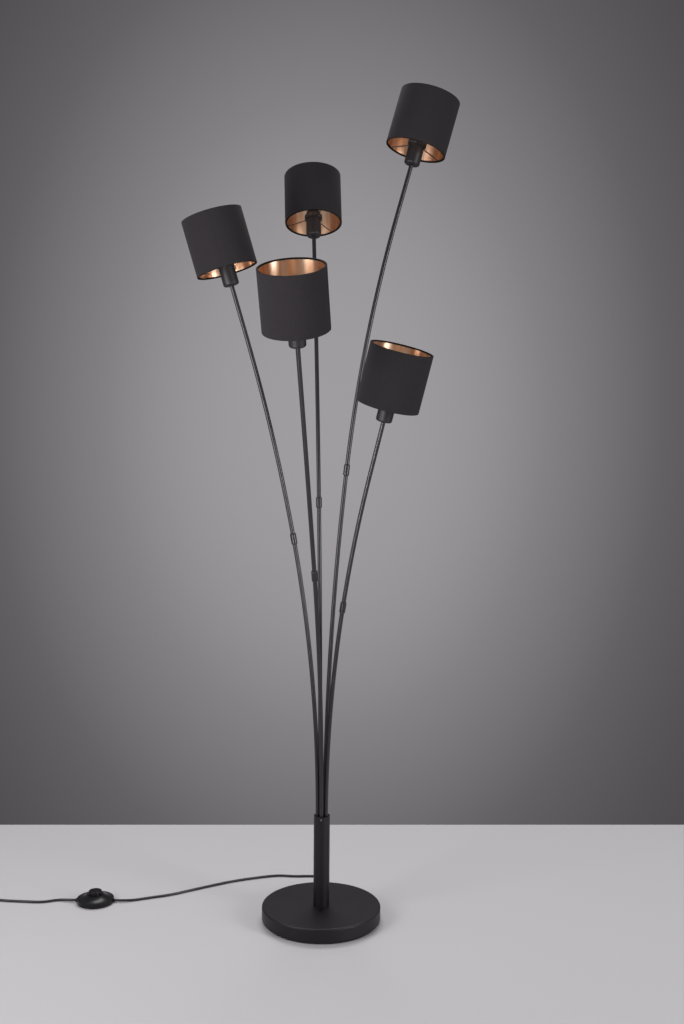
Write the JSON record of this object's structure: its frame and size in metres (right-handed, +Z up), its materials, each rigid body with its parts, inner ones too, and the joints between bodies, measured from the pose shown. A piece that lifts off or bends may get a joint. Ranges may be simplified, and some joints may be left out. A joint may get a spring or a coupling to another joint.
{
  "type": "floor lamp",
  "caption": "Tree floor lamp: bent tube arms with small black cylinder shades, gold inside, on one short pole and a round base.",
  "frame": {"origin": "on the floor, under the centre of the round base, on the pole's axis", "axes": "+Z up along the pole, -Y towards the side the lamp is looked at from, +X to that viewer's right"},
  "size_m": [1.007, 0.6892, 1.5998],
  "materials": {
    "black_powder_coat": "matt fine-textured powder coat on steel",
    "cast_iron": "rough cast, unpainted",
    "floor_pad": "matt foam rubber",
    "zinc_steel": "zinc plated",
    "black_oxide_steel": "blackened",
    "black_moulding": "satin moulded thermoplastic",
    "shade_cloth": "black woven cloth outside, brushed gold foil inside",
    "black_wire": "black lacquered steel wire",
    "bulb_glass": "opal, with a nickel screw cap",
    "black_gloss_plastic": "polished moulding",
    "cord_sheath": "smooth extruded sheath",
    "plug_moulding": "satin moulding with nickel pins"
  },
  "bodies": {
    "stand": {"base_shell": "black_powder_coat", "base_weight": "cast_iron", "base_pad": "floor_pad", "cord_gland": "black_moulding", "pole": "black_powder_coat", "pole_nut": "zinc_steel", "pole_head": "black_powder_coat", "head_screw": "black_oxide_steel", "foot_switch_base": "black_gloss_plastic", "foot_switch_cover": "black_gloss_plastic", "lamp_cord": "cord_sheath", "plug_cord": "cord_sheath", "cord_coil": "cord_sheath", "mains_plug": "plug_moulding"},
    "foot_switch_button": {"foot_switch_button": "black_gloss_plastic"},
    "left_arm": {"left_lower_rod": "black_powder_coat", "left_upper_rod": "black_powder_coat", "left_coupler": "black_powder_coat", "left_socket_cup": "black_powder_coat", "left_lampholder": "black_moulding", "left_shade_ring": "black_moulding", "left_shade_frame": "black_wire", "left_shade": "shade_cloth", "left_bulb": "bulb_glass"},
    "front_arm": {"front_lower_rod": "black_powder_coat", "front_upper_rod": "black_powder_coat", "front_coupler": "black_powder_coat", "front_socket_cup": "black_powder_coat", "front_lampholder": "black_moulding", "front_shade_ring": "black_moulding", "front_shade_frame": "black_wire", "front_shade": "shade_cloth", "front_bulb": "bulb_glass"},
    "short_arm": {"short_lower_rod": "black_powder_coat", "short_upper_rod": "black_powder_coat", "short_coupler": "black_powder_coat", "short_socket_cup": "black_powder_coat", "short_lampholder": "black_moulding", "short_shade_ring": "black_moulding", "short_shade_frame": "black_wire", "short_shade": "shade_cloth", "short_bulb": "bulb_glass"},
    "tall_arm": {"tall_lower_rod": "black_powder_coat", "tall_upper_rod": "black_powder_coat", "tall_coupler": "black_powder_coat", "tall_socket_cup": "black_powder_coat", "tall_lampholder": "black_moulding", "tall_shade_ring": "black_moulding", "tall_shade_frame": "black_wire", "tall_shade": "shade_cloth", "tall_bulb": "bulb_glass"},
    "back_arm": {"back_lower_rod": "black_powder_coat", "back_upper_rod": "black_powder_coat", "back_coupler": "black_powder_coat", "back_socket_cup": "black_powder_coat", "back_lampholder": "black_moulding", "back_shade_ring": "black_moulding", "back_shade_frame": "black_wire", "back_shade": "shade_cloth", "back_bulb": "bulb_glass"}
  },
  "joints": [
    {"name": "left_arm_swivel", "type": "hinge", "parent": "stand", "child": "left_arm", "pos_m": [-0.00818, -0.00189, 0.199], "axis": [0, 0, 1], "range_deg": [-15, 15]},
    {"name": "front_arm_swivel", "type": "hinge", "parent": "stand", "child": "front_arm", "pos_m": [-0.00073, -0.00837, 0.199], "axis": [0, 0, 1], "range_deg": [-15, 15]},
    {"name": "short_arm_swivel", "type": "hinge", "parent": "stand", "child": "short_arm", "pos_m": [0.00773, -0.00328, 0.199], "axis": [0, 0, 1], "range_deg": [-15, 15]},
    {"name": "tall_arm_swivel", "type": "hinge", "parent": "stand", "child": "tall_arm", "pos_m": [0.00551, 0.00634, 0.199], "axis": [0, 0, 1], "range_deg": [-15, 15]},
    {"name": "back_arm_swivel", "type": "hinge", "parent": "stand", "child": "back_arm", "pos_m": [-0.00433, 0.0072, 0.199], "axis": [0, 0, 1], "range_deg": [-15, 15]},
    {"name": "foot_switch_press", "type": "slide", "parent": "stand", "child": "foot_switch_button", "axis": [0, 0, -1], "range_m": [0, 0.0035], "stiffness_N_per_m": 900}
  ]
}
